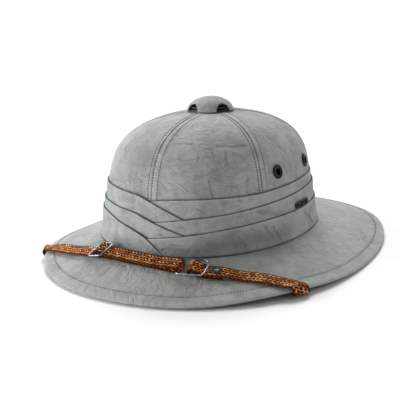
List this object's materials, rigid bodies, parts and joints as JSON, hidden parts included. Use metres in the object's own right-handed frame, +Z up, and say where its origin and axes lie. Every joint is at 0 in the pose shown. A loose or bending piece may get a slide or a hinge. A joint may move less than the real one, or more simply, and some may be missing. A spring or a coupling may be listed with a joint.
{
  "type": "pith helmet",
  "caption": "Cloth-covered pith helmet with a wide sloping brim, a crossed pleated band, a vent cap and a braided leather chin strap over the brim.",
  "frame": {"origin": "bottom centre of the bounding box, on the surface that the brim rests on", "axes": "+Z up through the crown, +Y towards the back of the hat, +X towards the wearer's left"},
  "size_m": [0.294, 0.3668, 0.1412],
  "materials": {
    "cover_cloth": "grey waxed cotton, matt",
    "binding_cloth": "grey cotton strip, stitched",
    "strap_leather": "tan braided leather, satin",
    "buckle_steel": "bright plated wire",
    "rivet_metal": "blue-grey, worn",
    "black_metal": "black enamel, satin",
    "black_plastic": "matt black"
  },
  "bodies": {
    "root": {"crown": "cover_cloth", "brim": "cover_cloth", "brim_binding": "binding_cloth", "band_pleat_upper": "cover_cloth", "band_pleat_middle": "cover_cloth", "band_pleat_lower": "cover_cloth", "vent_cap": "cover_cloth", "vent_core": "black_plastic", "eyelet_left_front": "black_metal", "eyelet_left_rear": "black_metal", "eyelet_right_front": "black_metal", "eyelet_right_rear": "black_metal", "metal_tab": "black_metal", "strap_long": "strap_leather", "strap_short": "strap_leather", "slide_buckle": "buckle_steel", "ring_buckle": "buckle_steel", "strap_rivet": "rivet_metal", "strap_anchor_left": "rivet_metal", "strap_anchor_right": "rivet_metal"}
  },
  "joints": []
}
